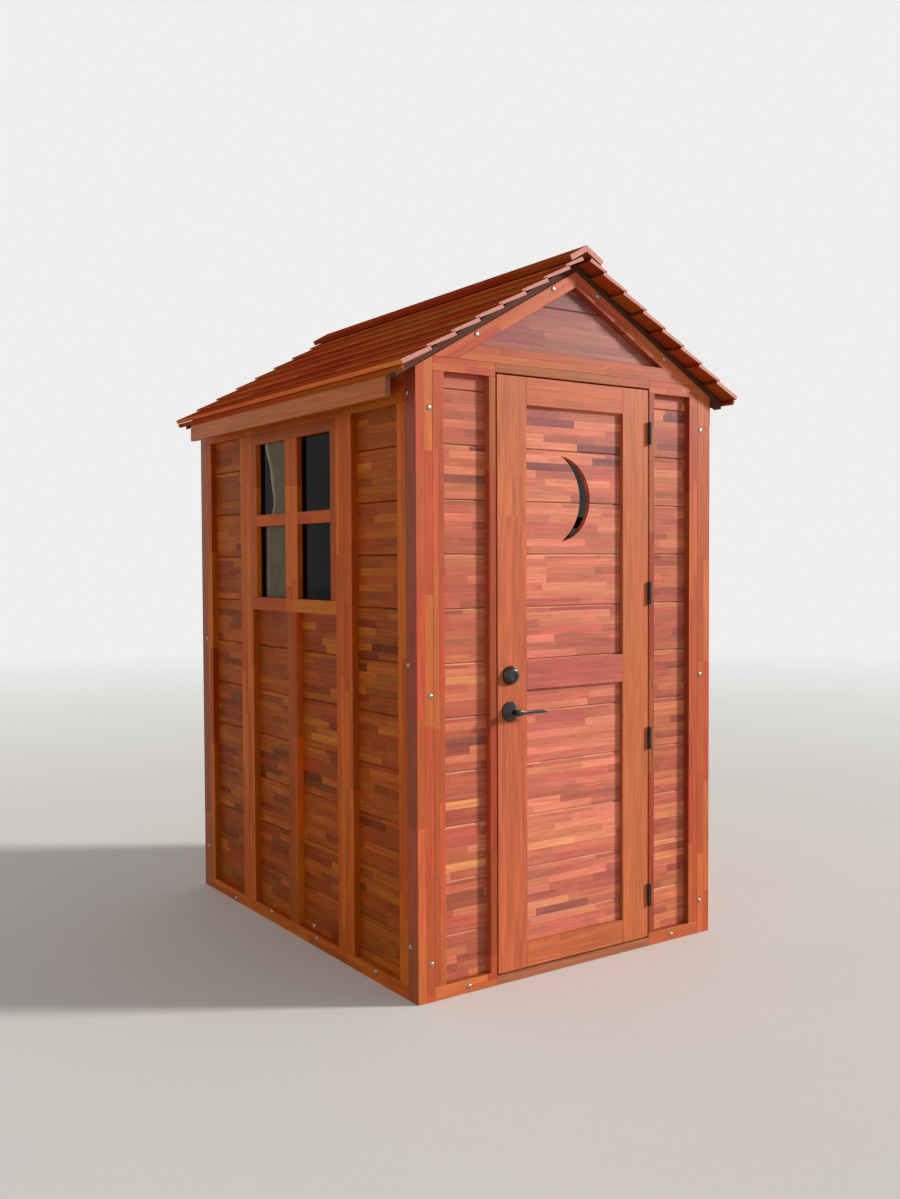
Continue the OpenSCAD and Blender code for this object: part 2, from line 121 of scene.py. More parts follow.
class Graph:
    """Node tree of one material."""

    def __init__(self, name):
        self.mat = bpy.data.materials.new(name)
        self.mat.use_nodes = True
        self.tree = self.mat.node_tree
        self.tree.nodes.clear()
        self.out = self.node("ShaderNodeOutputMaterial")
        self.shader = self.node("ShaderNodeBsdfPrincipled")
        self.link(self.shader.outputs[0], self.out.inputs["Surface"])

    def node(self, kind, **props):
        made = self.tree.nodes.new(kind)
        for key, value in props.items():
            setattr(made, key, value)
        return made

    def link(self, a, b):
        self.tree.links.new(a, b)

    def put(self, socket, value):
        if isinstance(value, bpy.types.NodeSocket):
            self.link(value, socket)
        else:
            socket.default_value = value

    def math(self, op, *values, clamp=False):
        made = self.node("ShaderNodeMath", operation=op, use_clamp=clamp)
        for socket, value in zip(made.inputs, values):
            self.put(socket, value)
        return made.outputs[0]

    def xyz(self, x, y, z):
        made = self.node("ShaderNodeCombineXYZ")
        for socket, value in zip(made.inputs, (x, y, z)):
            self.put(socket, value)
        return made.outputs[0]

    def split(self, vector):
        made = self.node("ShaderNodeSeparateXYZ")
        self.link(vector, made.inputs[0])
        return made.outputs

    def attribute(self, name):
        return self.node("ShaderNodeAttribute", attribute_name=name).outputs["Vector"]

    def noise(self, vector, scale=1.0, detail=3.0, rough=0.55, twist=0.0):
        made = self.node("ShaderNodeTexNoise", noise_dimensions="3D")
        self.link(vector, made.inputs["Vector"])
        made.inputs["Scale"].default_value = scale
        made.inputs["Detail"].default_value = detail
        made.inputs["Roughness"].default_value = rough
        made.inputs["Distortion"].default_value = twist
        return made.outputs["Fac"]

    def dice(self, vector):
        made = self.node("ShaderNodeTexWhiteNoise", noise_dimensions="3D")
        self.link(vector, made.inputs["Vector"])
        return made.outputs["Value"]

    def spread(self, value, a, b, low, high):
        made = self.node("ShaderNodeMapRange")
        self.put(made.inputs[0], value)
        for socket, number in zip(made.inputs[1:5], (a, b, low, high)):
            self.put(socket, number)
        return made.outputs[0]

    def ramp(self, value, stops):
        made = self.node("ShaderNodeValToRGB")
        band = made.color_ramp
        while len(band.elements) < len(stops):
            band.elements.new(0.5)
        for element, (place, colour) in zip(band.elements, stops):
            element.position = place
            element.color = lin(*colour)
        self.put(made.inputs[0], value)
        return made.outputs["Color"]

    def tint(self, colour, hue, saturation, value):
        made = self.node("ShaderNodeHueSaturation")
        self.put(made.inputs["Hue"], hue)
        self.put(made.inputs["Saturation"], saturation)
        self.put(made.inputs["Value"], value)
        self.put(made.inputs["Color"], colour)
        return made.outputs["Color"]

    def bump(self, height, distance, strength=1.0):
        made = self.node("ShaderNodeBump")
        made.inputs["Strength"].default_value = strength
        made.inputs["Distance"].default_value = distance
        self.link(height, made.inputs["Height"])
        self.link(made.outputs["Normal"], self.shader.inputs["Normal"])

    def set(self, **values):
        for key, value in values.items():
            self.put(self.shader.inputs[key.replace("_", " ")], value)


FIGURE = 0.15  # how much the middling grain shows
GLUE_LINE = 0.0011


def wood(name, stops, block, own=0.8, streak=0.16, flame=0.10, seam=0.45, rough=0.40,
         gloss=0.17, hue=0.022):
    """Oiled timber glued up from strips of blocks. block is their length in metres, own is how
    much each keeps its own tone, and streak, flame, seam and hue are how much the fine grain,
    the broad grain, the glue lines and the blocks' hues show."""
    g = Graph(name)
    along, across, depth = g.split(g.attribute("grain"))
    seed, strip, tone = g.split(g.attribute("plank"))
    far = g.math("MULTIPLY", seed, 97.0)
    rows = g.math("DIVIDE", across, strip)
    row = g.math("FLOOR", rows)
    jump = g.dice(g.xyz(row, far, 3.1))
    place = g.math("ADD", g.math("DIVIDE", along, block), g.math("MULTIPLY", jump, 53.0))
    cells = g.node("ShaderNodeTexVoronoi", voronoi_dimensions="1D", feature="F1")
    edges = g.node("ShaderNodeTexVoronoi", voronoi_dimensions="1D", feature="DISTANCE_TO_EDGE")
    for one in (cells, edges):
        g.link(place, one.inputs["W"])
        one.inputs["Scale"].default_value = 1.0
        one.inputs["Randomness"].default_value = 0.8
    pick = g.node("ShaderNodeSeparateColor")
    g.link(cells.outputs["Color"], pick.inputs[0])
    cell, cell2 = pick.outputs[0], pick.outputs[1]
    offset = g.math("MULTIPLY", cell, 31.0)
    mixed = g.math(
        "ADD", g.math("MULTIPLY", cell, own), g.math("MULTIPLY", tone, 1.0 - own), clamp=True
    )
    colour = g.ramp(mixed, stops)

    def stretched(lengthwise, sideways, **kind):
        """Noise drawn out along the grain."""
        return g.noise(
            g.xyz(
                g.math("MULTIPLY_ADD", along, lengthwise, offset),
                g.math("MULTIPLY_ADD", across, sideways, offset),
                g.math("MULTIPLY_ADD", depth, sideways, far),
            ),
            **kind,
        )

    fine = stretched(3.0, 150.0, detail=3.0, rough=0.6)
    broad = stretched(1.3, 22.0, detail=2.0, twist=0.6)
    middle = stretched(7.0, 62.0, detail=3.0, rough=0.62, twist=0.3)
    rings = g.math("SINE", g.math("MULTIPLY", broad, 34.0))
    shade = g.math(
        "ADD",
        g.spread(fine, 0.3, 0.7, 1.0 - streak, 1.0 + 0.7 * streak),
        g.math("MULTIPLY", rings, flame),
    )
    shade = g.math("MULTIPLY", shade, g.spread(middle, 0.25, 0.75, 1.0 - FIGURE, 1.0 + FIGURE))
    part = g.math("FRACT", rows)
    side = g.math("MULTIPLY", g.math("MINIMUM", part, g.math("SUBTRACT", 1.0, part)), strip)
    end = g.math("MULTIPLY", edges.outputs["Distance"], block)
    line = g.spread(g.math("MINIMUM", side, end), 0.0, GLUE_LINE, 1.0, 0.0)
    shade = g.math("MULTIPLY", shade, g.math("MULTIPLY_ADD", line, -seam, 1.0))
    turn = g.math("MULTIPLY_ADD", g.math("SUBTRACT", cell2, 0.5), hue, 0.5)
    g.set(Base_Color=g.tint(colour, turn, 1.0, shade))
    g.set(Roughness=g.spread(fine, 0.3, 0.7, rough + 0.10, rough - 0.05))
    g.set(Coat_Weight=0.2 * gloss, Coat_Roughness=0.3, Specular_IOR_Level=gloss)
    g.bump(g.math("MULTIPLY_ADD", line, -0.8, fine), 0.0005, 0.55)
    return g.mat


def end_grain(name, dark, light):
    """Sawn ends of the timbers: rings and pores."""
    g = Graph(name)
    across, depth = g.split(g.attribute("grain"))[1:]
    far = g.math("MULTIPLY", g.split(g.attribute("plank"))[0], 97.0)
    where = g.xyz(across, depth, far)
    rings = g.noise(g.xyz(across, g.math("MULTIPLY", depth, 7.0), far), 60.0, 2.0, 0.5, 0.5)
    pores = g.noise(where, 900.0, 2.0)
    both = g.math("MULTIPLY_ADD", pores, 0.45, g.math("MULTIPLY", rings, 0.6))
    g.set(Base_Color=g.ramp(g.spread(both, 0.3, 0.75, 0.0, 1.0), [(0.0, dark), (1.0, light)]))
    g.set(Roughness=0.62, Specular_IOR_Level=0.3)
    g.bump(pores, 0.0004, 0.5)
    return g.mat


SIDING = [
    (0.00, (96, 50, 40)),
    (0.07, (118, 58, 42)),
    (0.16, (154, 74, 46)),
    (0.42, (176, 86, 52)),
    (0.65, (190, 96, 56)),
    (0.86, (204, 110, 64)),
    (0.95, (216, 130, 68)),
    (1.00, (226, 150, 78)),
]
FRAMES = [
    (0.00, (160, 74, 42)),
    (0.35, (180, 85, 46)),
    (0.65, (192, 95, 52)),
    (1.00, (208, 112, 64)),
]
ROOF = [
    (0.00, (160, 66, 28)),
    (0.40, (190, 82, 34)),
    (0.75, (208, 96, 40)),
    (1.00, (224, 118, 56)),
]
DECK = [(0.00, (130, 74, 48)), (0.50, (156, 92, 60)), (1.00, (180, 112, 76))]


def shifted(stops, red, green, blue):
    """Palette with its channels scaled."""
    return [(place, (c[0] * red, c[1] * green, c[2] * blue)) for place, c in stops]


CLAD = dict(own=0.84, streak=0.16, flame=0.08, seam=0.24)
FRAMED = dict(own=0.7, streak=0.13, flame=0.06, seam=0.3)
WHOLE = dict(own=0.3, seam=0.0)  # no glue lines
BOARDED = dict(own=0.5, streak=0.16, flame=0.05, seam=0.1, rough=0.6, gloss=0.0)
LONG = 9.0  # longer than any timber

siding_wood = wood("siding_wood", shifted(SIDING, 1.04, 1.12, 1.36), 0.24, **CLAD)
door_siding = wood("siding_wood_door", shifted(SIDING, 1.11, 1.25, 1.64), 0.30, own=0.80,
                   streak=0.16, flame=0.08, seam=0.22)
# painted shade: a darker, warmer copy of the siding for the left wall, which stands in shade
painted_shade_siding = wood("siding_wood_painted_shade", shifted(SIDING, 0.95, 0.92, 0.42), 0.24, gloss=0.06,
                   **CLAD)
gable_wood = wood("gable_wood", shifted(SIDING, 0.87, 0.99, 1.42), 0.34, own=0.55,
                  streak=0.16, flame=0.05, seam=0.2)
# painted highlight: a paler copy of the siding for the boards' upper chamfers, standing in for
# the light they catch
painted_highlight_wood = wood("painted_highlight_wood", shifted(SIDING, 1.16, 1.6, 2.1), 0.24, rough=0.34, **WHOLE)
frame_wood = wood("frame_wood", FRAMES, 0.42, **FRAMED)
# painted shade: a darker, warmer copy of the frame wood for the left wall
painted_shade_frame = wood("frame_wood_painted_shade", shifted(FRAMES, 1.10, 1.08, 0.50), 0.42, gloss=0.07,
                  **FRAMED)
rail_wood = wood("rail_wood", shifted(FRAMES, 0.98, 1.04, 1.6), LONG, streak=0.14, flame=0.08,
                 **WHOLE)
board_wood = wood("board_wood", shifted(FRAMES, 1.0, 1.07, 1.2), LONG, streak=0.15,
                  flame=0.10, hue=0.010, **WHOLE)
fascia_wood = wood("fascia_wood", shifted(FRAMES, 1.0, 0.96, 0.45), LONG, streak=0.16,
                   flame=0.10, **WHOLE)
# the treads are darkened as painted shade, and the butts brightened as painted light
roof_wood = wood("roof_wood", shifted(ROOF, 0.86, 0.82, 0.84), 0.9, **BOARDED)
painted_light_roof_butt = wood("roof_wood_butt_painted_light", shifted(ROOF, 1.12, 1.32, 1.6), 0.9, **BOARDED)
# a darker wood, darkened further as painted shade from the roof overhang
batten_wood_darker_and_painted_shade = wood("batten_wood_darker_and_painted_shade", shifted(DECK, 0.58, 0.58, 0.72), LONG, streak=0.2,
                   flame=0.08, rough=0.6, gloss=0.06, **WHOLE)
deck_wood = wood("deck_wood", DECK, LONG, streak=0.2, flame=0.10, rough=0.6, **WHOLE)
cut_wood = end_grain("cut_wood", (128, 66, 46), (186, 112, 82))
butt_wood = end_grain("butt_wood", (168, 98, 84), (214, 150, 134))


def metal(name, dark, light, metallic, rough, spread, scale, coat=0.0):
    """Clouded metal. scale is how fine the clouds are, spread how much its roughness varies."""
    g = Graph(name)
    spot = g.node("ShaderNodeTexCoord").outputs["Object"]
    cloud = g.noise(spot, scale, 3.0)
    grit = g.noise(spot, scale * 14, 2.0)
    g.set(Base_Color=g.ramp(cloud, [(0.3, dark), (0.7, light)]), Metallic=metallic)
    g.set(Coat_Weight=coat, Coat_Roughness=0.18)
    g.set(Roughness=g.spread(cloud, 0.3, 0.7, rough - spread, rough + spread))
    g.bump(grit, 0.0002, 0.35)
    return g.mat


black_metal = metal("black_metal", (17, 16, 16), (34, 31, 29), 0.35, 0.30, 0.06, 60.0,
                    coat=0.6)
steel = metal("steel", (134, 132, 126), (172, 170, 164), 1.0, 0.36, 0.08, 180.0)


def window_glass():
    """Faintly smeared glass, tinted nearly black as painted shade for the dark behind it."""
    g = Graph("window_glass")
    spot = g.node("ShaderNodeTexCoord").outputs["Object"]
    smear = g.noise(spot, 7.0, 3.0, 0.6, 0.4)
    # the near-black tint is painted shade, not the glass's own colour
    g.set(Base_Color=g.ramp(smear, [(0.3, (52, 57, 55)), (0.8, (66, 71, 68))]))
    g.set(Roughness=g.spread(smear, 0.35, 0.75, 0.015, 0.07))
    g.set(Transmission_Weight=1.0, IOR=1.11)
    g.bump(g.noise(spot, 3.0, 1.0), 0.004, 0.12)
    return g.mat


def pane_film():
    """Dull creased film whose curled edge is painted pale, a painted highlight."""
    g = Graph("pane_film")
    spot = g.node("ShaderNodeTexCoord").outputs["Object"]
    cloud = g.noise(spot, 9.0, 4.0, 0.6, 0.8)
    squeezed = zip(g.split(spot), (40.0, 90.0, 9.0))
    creases = g.noise(g.xyz(*[g.math("MULTIPLY", axis, times) for axis, times in squeezed]),
                      1.0, 2.0)
    body = g.ramp(cloud, [(0.3, (124, 104, 72)), (0.7, (148, 126, 90))])
    # painted highlight: the curled edge turns pale as it lifts off the glass
    painted_curl_highlight = g.node("ShaderNodeMix", data_type="RGBA")
    g.link(g.split(g.attribute("painted_curl_highlight"))[0], painted_curl_highlight.inputs["Factor"])
    g.link(body, painted_curl_highlight.inputs[6])
    painted_curl_highlight.inputs[7].default_value = lin(214, 200, 176)
    g.set(Base_Color=painted_curl_highlight.outputs[2])
    g.set(Roughness=0.46, Transmission_Weight=0.12)
    g.bump(creases, 0.004, 0.4)
    return g.mat


glass, film = window_glass(), pane_film()

# ---------------------------------------------------------------- pieces built from timbers


def extrude(mesh, outline, push):
    """Adds a closed prism: a flat outline pulled along push."""
    near = [mesh.verts.new(p) for p in outline]
    away = [mesh.verts.new(Vector(p) + push) for p in outline]
    mesh.faces.new(near)
    mesh.faces.new(away[::-1])
    for i, corner in enumerate(near):
        j = (i + 1) % len(near)
        mesh.faces.new((corner, away[i], away[j], near[j]))
    bmesh.ops.recalc_face_normals(mesh, faces=mesh.faces)


class Piece:
    """Mesh object made of timbers, each with its own grain. Its materials are the timber's
    faces, its sawn ends and a third that some pieces give to chosen faces, mostly a
    painted highlight."""

    def __init__(self, name, body, slot, main, ends=None):
        self.name, self.body, self.slot = name, body, slot
        # the third is the painted highlight, except on the shaded left wall's boards
        self.mats = [main, ends or cut_wood, main if main is painted_shade_siding else painted_highlight_wood]
        self.verts, self.faces, self.picks, self.grain, self.plank = [], [], [], [], []

    def take(self, mesh, along, across, strip, tone=None, cut=True):
        """Adds a finished timber and keeps where each point lies in its grain."""
        depth = along.cross(across)
        seed = rng.random()
        shift = Vector((rng.uniform(0, 9), 0, 0))
        tone = rng.uniform(0.2, 0.85) if tone is None else tone
        base = len(self.verts)
        mesh.verts.index_update()
        spots = [Vector((v.co.dot(along), v.co.dot(across), v.co.dot(depth))) for v in mesh.verts]
        low = Vector(min(s[i] for s in spots) for i in range(3))
        for v, s in zip(mesh.verts, spots):
            self.verts.append(v.co.copy())
            self.grain.append(s - Vector((0, low[1], low[2])) + shift)
            self.plank.append((seed, strip, tone))
        mesh.normal_update()
        for f in mesh.faces:
            self.faces.append([base + v.index for v in f.verts])
            self.picks.append(1 if cut and abs(f.normal.dot(along)) > 0.8 else 0)
        mesh.free()

    def prism(self, outline, push, along, across, strip=LONG, edge=0.0016, cutters=(), **more):
        """Timber with a flat outline, given by its corners, pulled along push."""
        mesh = bmesh.new()
        extrude(mesh, outline, push)
        if edge:
            bmesh.ops.bevel(mesh, geom=list(mesh.edges), offset=edge, segments=2, profile=0.6,
                            affect="EDGES", clamp_overlap=True)
        for cutter in cutters:
            mesh = cut_out(mesh, cutter)
        self.take(mesh, along, across, strip, **more)

    def bar(self, low, high, along, strips=2, **more):
        """Straight timber between two corners. Its strips share its wider side."""
        low, high = Vector(low), Vector(high)
        size = high - low
        rest = [a for a in (X, Y, Z) if a != along]
        across = max(rest, key=lambda a: size.dot(a))
        outline = [low, low + X * size.x, low + X * size.x + Y * size.y, low + Y * size.y]
        strip = size.dot(across) / strips if strips else LONG
        self.prism(outline, Z * size.z, along, across, strip, **more)

    def boards(self, start, end, out, bottom, top, cutters=()):
        """Lapped boards filling a panel from start to end, the corners of its inner face. out
        is their thickness, pointing outward."""
        run = end - start
        run.z = 0
        way = run.normalized()
        first = math.floor((bottom - FIRST_SEAM) / COURSE)
        last = math.ceil((top - FIRST_SEAM) / COURSE)
        deep = out.length
        face = out.normalized()
        back = 0.45 * deep
        for k in range(first, last):
            low = FIRST_SEAM + k * COURSE
            # the back half closes the seam, and the front half is chamfered along it
            profile = [
                (0.0, 0.0), (COURSE, 0.0), (COURSE, back), (COURSE - 0.0007, back),
                (COURSE - 0.0007, deep - 0.0055), (COURSE - 0.0062, deep), (0.0022, deep),
                (0.0007, deep - 0.0016), (0.0007, back), (0.0, back),
            ]
            line = [(low + w, t) for w, t in profile]
            line = clip(line, bottom, True)
            line = clip(line, top, False)
            if len(line) < 3:
                continue
            outline = [start + face * t + Z * (w - start.z) for w, t in line]
            before = len(self.faces)
            self.prism(outline, way * run.length, way, Z, STRIP, edge=0, cutters=cutters,
                       cut=False)
            # upper chamfers facing out get the painted highlight
            for i in range(before, len(self.faces)):
                p = [self.verts[j] for j in self.faces[i]]
                normal = (p[1] - p[0]).cross(p[2] - p[1]).normalized()
                if normal.z > 0.4 and normal.dot(face) > 0.4:
                    self.picks[i] = 2

    def done(self, *nodes):
        """Makes the object, on its body and in place of the CAD nodes it stands for."""
        data = bpy.data.meshes.new(self.name)
        data.from_pydata([tuple(v) for v in self.verts], [], self.faces)
        for name, values in (("grain", self.grain), ("plank", self.plank)):
            layer = data.attributes.new(name, "FLOAT_VECTOR", "POINT")
            layer.data.foreach_set("vector", [c for v in values for c in v])
        for m in self.mats:
            data.materials.append(m)
        data.polygons.foreach_set("material_index", self.picks)
        data.update()
        made = bpy.data.objects.new(self.name, data)
        bpy.context.scene.collection.objects.link(made)
        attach(made, self.body)
        if nodes:
            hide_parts(*nodes)
        return made


def clip(line, limit, keep_above):
    """Part of an outline of (width, depth) corners on one side of a width."""
    sign = 1 if keep_above else -1
    out = []
    for (w0, t0), (w1, t1) in zip(line, line[1:] + line[:1]):
        a, b = sign * (w0 - limit), sign * (w1 - limit)
        if a >= 0:
            out.append((w0, t0))
        if (a > 0 > b) or (a < 0 < b):
            s = a / (a - b)
            out.append((limit, t0 + (t1 - t0) * s))
    return out


def cut_out(mesh, cutter):
    """Mesh less the cutter, when their boxes meet."""
    low = [min(v.co[i] for v in mesh.verts) for i in range(3)]
    high = [max(v.co[i] for v in mesh.verts) for i in range(3)]
    box = [Vector(c) for c in cutter.bound_box]
    if any(max(b[i] for b in box) < low[i] or min(b[i] for b in box) > high[i] for i in range(3)):
        return mesh
    data = bpy.data.meshes.new("cut")
    mesh.to_mesh(data)
    mesh.free()
    solid = bpy.data.objects.new("cut", data)
    bpy.context.scene.collection.objects.link(solid)
    change = solid.modifiers.new("cut", "BOOLEAN")
    change.operation, change.solver, change.object = "DIFFERENCE", "EXACT", cutter
    bpy.context.view_layer.update()
    seen = solid.evaluated_get(bpy.context.evaluated_depsgraph_get())
    result = bmesh.new()
    result.from_mesh(seen.to_mesh())
    seen.to_mesh_clear()
    bpy.data.objects.remove(solid)
    bpy.data.meshes.remove(data)
    return result


def solid_between(name, outline, y0, y1):
    """Closed cutter with an outline in X and Z between two depths."""
    mesh = bmesh.new()
    extrude(mesh, [(x, y0, z) for x, z in outline], Y * (y1 - y0))
    data = bpy.data.meshes.new(name)
    mesh.to_mesh(data)
    mesh.free()
    made = bpy.data.objects.new(name, data)
    bpy.context.scene.collection.objects.link(made)
    bpy.context.view_layer.update()
    return made


def dress(node, material):
    """Gives a CAD node that stays in view its material."""
    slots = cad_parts[node].data.materials
    slots.clear()
    slots.append(material)


def roof_z(apex, x):
    """Height at x of a roof line with this apex."""
    return apex - abs(x) * slope


def section(y, *corners):
    """Outline at one depth through corners of (x, z)."""
    return [Vector((x, y, z)) for x, z in corners]


def down_slope(side):
    """Unit vector down the roof on one side."""
    return Vector((side * math.cos(pitch), 0, -math.sin(pitch)))


# corner posts
posts = Piece("posts", "shed", "frame_wood", frame_wood)
for sx in (1, -1):
    for sy in (1, -1):
        outline = section(
            sy * in_d, (sx * in_w, 0), (sx * half_w, 0),
            (sx * half_w, roof_z(wall_apex, half_w)), (sx * in_w, roof_z(wall_apex, in_w)),
        )
        posts.prism(outline, Y * sy * (half_d - in_d), Z, X, (half_w - in_w) / 2)
posts.done("corner_posts")


def end_wall(sy, prefix):
    """Frame and siding of the front or the rear: sy is -1 or 1."""
    y0, y1 = sorted((sy * half_d, sy * (half_d - frame_t)))
    back = sy * siding_back

    def fill(a, b):
        siding.boards(Vector((a, back, rail_h)), Vector((b, back, rail_h)),
                      Vector((0, sy * SIDING_T, 0)), rail_h, top)

    stiles = Piece(prefix + "_wall_stiles", "shed", "frame_wood", frame_wood)
    rails = Piece(prefix + "_wall_rails", "shed", "frame_wood", frame_wood)
    siding = Piece(prefix + "_wall_boards", "shed", "siding_wood", siding_wood)
    top = panel_top - rail_h
    for sx in (1, -1):
        a, b = sorted((sx * siding_x, sx * in_w))
        stiles.bar((a, y0, rail_h), (b, y1, top), Z)
    if sy < 0:
        jamb = doorway + JAMB
        for sx in (1, -1):
            a, b = sorted((sx * doorway, sx * jamb))
            stiles.bar((a, y0, rail_h), (b, y1, top), Z, strips=1)
            a, b = sorted((sx * doorway, sx * in_w))
            rails.bar((a, y0, 0), (b, y1, rail_h), X)
            rails.bar((a, y0, top), (b, y1, panel_top), X)
            fill(*sorted((sx * jamb, sx * siding_x)))
    else:
        stiles.bar((-JOINT_W / 2, y0, rail_h), (-SLIT, y1, top), Z)
        stiles.bar((SLIT, y0, rail_h), (JOINT_W / 2, y1, top), Z)
        for z0, z1 in ((0, rail_h), (top, panel_top)):
            rails.bar((-in_w, y0, z0), (-SLIT, y1, z1), X)
            rails.bar((SLIT, y0, z0), (in_w, y1, z1), X)
        for sx in (1, -1):
            fill(*sorted((sx * JOINT_W / 2, sx * siding_x)))
    stiles.done(prefix + "_stiles")
    rails.done(prefix + "_rails")
    siding.done(prefix + "_siding")


end_wall(-1, "front")
end_wall(1, "rear")

header = Piece("header", "shed", "frame_wood", frame_wood)
header.bar((-doorway, -half_d, header_z), (doorway, -half_d + frame_t, panel_top), X, strips=1,
           tone=0.6)
header.done("door_header")
sill = Piece("sill", "shed", "inner_wood", deck_wood)
sill_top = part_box("door_sill")[1].z
sill.bar((-doorway, -half_d, 0), (doorway, -half_d + frame_t, sill_top), X, strips=1)
sill.done("door_sill")

# gables
low_x, high_x = (trim_apex - panel_top) / slope, (trim_apex - gable_z) / slope
rails = Piece("gable_foot_rails", "shed", "frame_wood", frame_wood)
fields = Piece("gable_boards", "shed", "siding_wood", gable_wood)
GABLE_SEAM, HALF_SEAM = gable_z + 0.164, 0.0008
for sy in (-1, 1):
    face = sy * half_d
    push = -Y * sy * frame_t
    outline = section(face, (-low_x, panel_top), (low_x, panel_top), (high_x, gable_z),
                      (-high_x, gable_z))
    rails.prism(outline, push, X, Z, (gable_z - panel_top) / 2)
    face, push = sy * siding_face, -Y * sy * SIDING_T
    # a dark board over a lighter one
    for z0, z1, tone in ((gable_z, GABLE_SEAM - HALF_SEAM, 0.62),
                         (GABLE_SEAM + HALF_SEAM, trim_apex, 0.04)):
        a, b = (trim_apex - z0) / slope, (trim_apex - z1) / slope
        over = [(b, z1), (-b, z1)] if z1 < trim_apex else [(0, z1)]
        fields.prism(section(face, (-a, z0), (a, z0), *over), push, X, Z, STRIP, edge=0.003,
                     cut=False, tone=tone)
rails.done("gable_rails")
fields.done("gable_siding")
for sx, side in ((-1, "left"), (1, "right")):
    trims = Piece("gable_trims_" + side, "shed", "frame_wood", frame_wood)
    for sy in (-1, 1):
        outline = section(sy * half_d, (0, trim_apex), (sx * low_x, panel_top),
                          (sx * in_w, panel_top), (0, wall_apex))
        trims.prism(outline, -Y * sy * frame_t, down_slope(sx), down_slope(sx).cross(Y), 0.024)
    trims.done("rake_trims_" + side)

# side walls
for sx, side in ((-1, "left"), (1, "right")):
    # the left wall takes the copies with painted shade, the right wall the plain woods
    timber, cladding = (painted_shade_frame, painted_shade_siding) if sx < 0 else (frame_wood, siding_wood)
    stiles = Piece(side + "_wall_stiles", "shed", "frame_wood", timber)
    rails = Piece(side + "_wall_rails", "shed", "frame_wood", timber)
    siding = Piece(side + "_wall_boards", "shed", "siding_wood", cladding)
    bars = Piece(side + "_window_rails", "shed", "frame_wood", timber)
    jambs = Piece(side + "_window_uprights", "shed", "frame_wood", timber)
    x0, x1 = sorted((sx * inner_x, sx * half_w))

    def plank(piece, y0, y1, z0, z1, along, strips=2):
        piece.bar((x0, y0, z0), (x1, y1, z1), along, strips)

    for sy in (-1, 1):
        for a, b in (
            (side_bay_end, in_d),
            (joint_y + SLIT, window_y + JOINT_W),
            (window_y, joint_y - SLIT),
        ):
            y0, y1 = sorted((sy * a, sy * b))
            plank(stiles, y0, y1, rail_h, eave_rail_z, Z)
        for a, b, top in (
            (window_y + JOINT_W, side_bay_end, eave_rail_z),
            (STUD, window_y, window_z),
        ):
            y0, y1 = sorted((sy * a, sy * b))
            siding.boards(
                Vector((sx * inner_x, y0, rail_h)), Vector((sx * inner_x, y1, rail_h)),
                Vector((sx * SIDING_T, 0, 0)), rail_h, top,
            )
        for a, b in ((window_y - WINDOW_JAMB, window_y), (WINDOW_SLIT, WINDOW_MID)):
            y0, y1 = sorted((sy * a, sy * b))
            plank(jambs, y0, y1, pane_z, head_z, Z, 1)
        y0, y1 = sorted((sy * WINDOW_MID, sy * glass_y))
        plank(bars, y0, y1, bar_z - HALF_BAR, bar_z + HALF_BAR, Y, 1)
        y0, y1 = sorted((sy * WINDOW_SLIT, sy * window_y))
        plank(bars, y0, y1, window_z, pane_z, Y, 1)
        plank(bars, y0, y1, head_z, eave_rail_z, Y, 1)
    plank(stiles, -STUD, -SLIT, rail_h, window_z, Z, 1)
    plank(stiles, SLIT, STUD, rail_h, window_z, Z, 1)
    for y0, y1 in ((-in_d, -joint_y), (-joint_y, joint_y), (joint_y, in_d)):
        plank(rails, y0 + SLIT, y1 - SLIT, 0, rail_h, Y)
        outline = section(
            y0 + SLIT, (sx * inner_x, eave_rail_z), (sx * half_w, eave_rail_z),
            (sx * half_w, roof_z(wall_apex, half_w)), (sx * inner_x, roof_z(wall_apex, inner_x)),
        )
        rails.prism(outline, Y * (y1 - y0 - 2 * SLIT), Y, Z, 0.036)
    stiles.done(side + "_stiles")
    rails.done(side + "_rails")
    siding.done(side + "_siding")
    bars.done(side + "_window_bars")
    jambs.done(side + "_window_posts")
    dress(side + "_glass", glass)

# floor inside
deck = Piece("deck", "shed", "inner_wood", deck_wood)
deck_y = half_d - frame_t
DECK_BOARDS, DECK_GAP = 12, 0.001
for k in range(DECK_BOARDS):
    y0 = -deck_y + 2 * deck_y * k / DECK_BOARDS
    y1 = -deck_y + 2 * deck_y * (k + 1) / DECK_BOARDS
    x = in_w if k in (0, DECK_BOARDS - 1) else inner_x
    deck.bar((-x, y0 + DECK_GAP, 0), (x, y1 - DECK_GAP, sill_top), X, strips=1)
deck.done("floor_deck")

# eaves
fascias = Piece("fascias", "shed", "frame_wood", fascia_wood)
for sx in (1, -1):
    y0, y1 = -fascia_high.y, fascia_high.y
    outline = section(
        y0, (sx * fascia_in, fascia_low.z), (sx * fascia_high.x, fascia_low.z),
        (sx * fascia_high.x, roof_z(boards_apex, fascia_high.x)),
        (sx * fascia_in, roof_z(boards_apex, fascia_in)),
    )
    fascias.prism(outline, Y * (y1 - y0), Y, Z)
fascias.done("eave_fascias")

